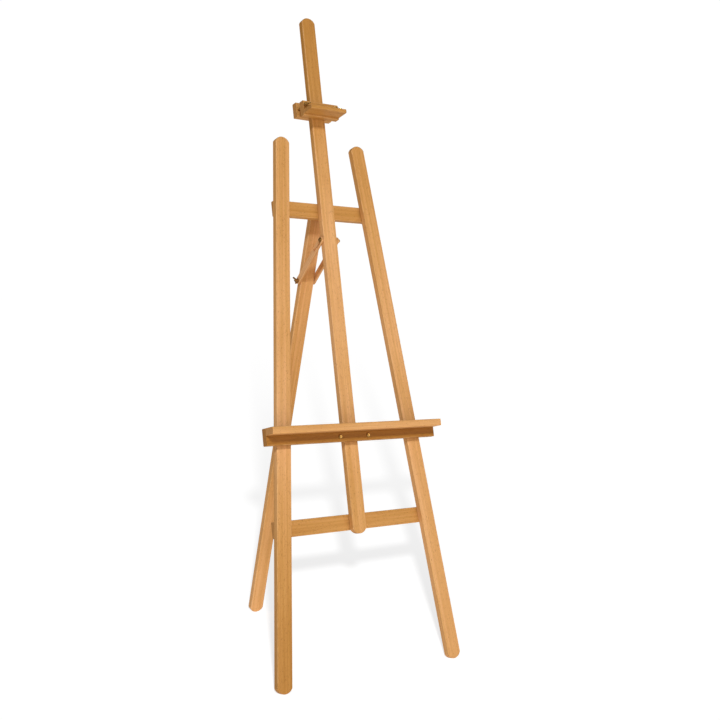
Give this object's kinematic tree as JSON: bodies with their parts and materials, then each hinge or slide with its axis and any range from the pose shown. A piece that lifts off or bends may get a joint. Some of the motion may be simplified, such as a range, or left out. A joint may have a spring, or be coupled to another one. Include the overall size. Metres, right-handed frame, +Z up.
{
  "type": "artist easel",
  "caption": "Wooden lyre easel: splayed front legs and a central mast leaning back, a hinged rear leg with stays, a sliding canvas tray and a sliding top holder.",
  "frame": {"origin": "On the floor, under the middle of the easel's bounding box.", "axes": "+Z up. The easel faces -Y, where the tray's shelf and the holder's lip point. +X is to the right of someone who stands in front and faces the easel."},
  "size_m": [0.6116, 0.7056, 1.8833],
  "materials": {
    "beech": "oiled beech, satin",
    "brass_hardware": "brass-plated, lightly tarnished",
    "steel_hardware": "zinc-plated, dull"
  },
  "bodies": {
    "frame": {"left_leg": "beech", "right_leg": "beech", "mast": "beech", "top_crossbar": "beech", "bottom_crossbar": "beech", "top_crossbar_screws": "steel_hardware", "bottom_crossbar_screws": "steel_hardware", "hinge_leaf_frame": "steel_hardware", "hinge_pin": "steel_hardware", "hinge_screws_frame": "steel_hardware", "stay_pivot_bolt": "brass_hardware", "stay_pivot_nut": "brass_hardware", "stay_pivot_washers": "brass_hardware"},
    "rear_leg": {"rear_leg": "beech", "hinge_leaf_rear": "steel_hardware", "hinge_screws_rear": "steel_hardware", "stay_lock_bolt": "brass_hardware", "stay_lock_washers": "brass_hardware"},
    "stay_left": {"stay_left": "beech"},
    "stay_right": {"stay_right": "beech"},
    "lock_nut": {"stay_lock_wing_nut": "brass_hardware"},
    "tray": {"tray_back_board": "beech", "tray_shelf": "beech", "tray_screws": "steel_hardware", "tray_clamp_bar": "beech", "tray_bolts": "brass_hardware", "tray_washers": "brass_hardware"},
    "tray_nut_left": {"tray_wing_nut_left": "brass_hardware"},
    "tray_nut_right": {"tray_wing_nut_right": "brass_hardware"},
    "holder": {"holder_plate": "beech", "holder_lip": "beech", "holder_screws": "steel_hardware", "holder_clamp_bar": "beech", "holder_bolts": "brass_hardware", "holder_washers": "brass_hardware"},
    "holder_nut_left": {"holder_wing_nut_left": "brass_hardware"},
    "holder_nut_right": {"holder_wing_nut_right": "brass_hardware"}
  },
  "joints": [
    {"name": "rear_leg_fold", "type": "hinge", "parent": "frame", "child": "rear_leg", "pos_m": [0, 0.00306, 1.30604], "axis": [-1, 0, 0], "range_deg": [0, 27.6]},
    {"name": "stay_left_swing", "type": "hinge", "parent": "rear_leg", "child": "stay_left", "pos_m": [0, 0.07009, 1.09089], "axis": [-1, 0, 0], "range_deg": [0, 10.31]},
    {"name": "stay_right_swing", "type": "hinge", "parent": "rear_leg", "child": "stay_right", "pos_m": [0, 0.07009, 1.09089], "axis": [-1, 0, 0], "range_deg": [0, 10.31]},
    {"name": "lock_nut_turn", "type": "hinge", "parent": "rear_leg", "child": "lock_nut", "pos_m": [0, 0.07009, 1.09089], "axis": [-1, 0, 0], "continuous": true},
    {"name": "tray_slide", "type": "slide", "parent": "frame", "child": "tray", "axis": [0, 0.2334, 0.9724], "range_m": [-0.2, 0.43]},
    {"name": "tray_nut_left_turn", "type": "hinge", "parent": "tray", "child": "tray_nut_left", "pos_m": [-0.047, -0.15985, 0.63863], "axis": [0, 0.9724, -0.2334], "continuous": true},
    {"name": "tray_nut_right_turn", "type": "hinge", "parent": "tray", "child": "tray_nut_right", "pos_m": [0.047, -0.15985, 0.63863], "axis": [0, 0.9724, -0.2334], "continuous": true},
    {"name": "holder_slide", "type": "slide", "parent": "frame", "child": "holder", "axis": [0, 0.2334, 0.9724], "range_m": [-0.25, 0.25]},
    {"name": "holder_nut_left_turn", "type": "hinge", "parent": "holder", "child": "holder_nut_left", "pos_m": [-0.053, 0.01047, 1.60507], "axis": [0, -0.9724, 0.2334], "continuous": true},
    {"name": "holder_nut_right_turn", "type": "hinge", "parent": "holder", "child": "holder_nut_right", "pos_m": [0.053, 0.01047, 1.60507], "axis": [0, -0.9724, 0.2334], "continuous": true}
  ],
  "couplings": [
    {"joint": "stay_left_swing", "follows": "rear_leg_fold", "ratio": 0.37},
    {"joint": "stay_right_swing", "follows": "rear_leg_fold", "ratio": 0.37}
  ]
}
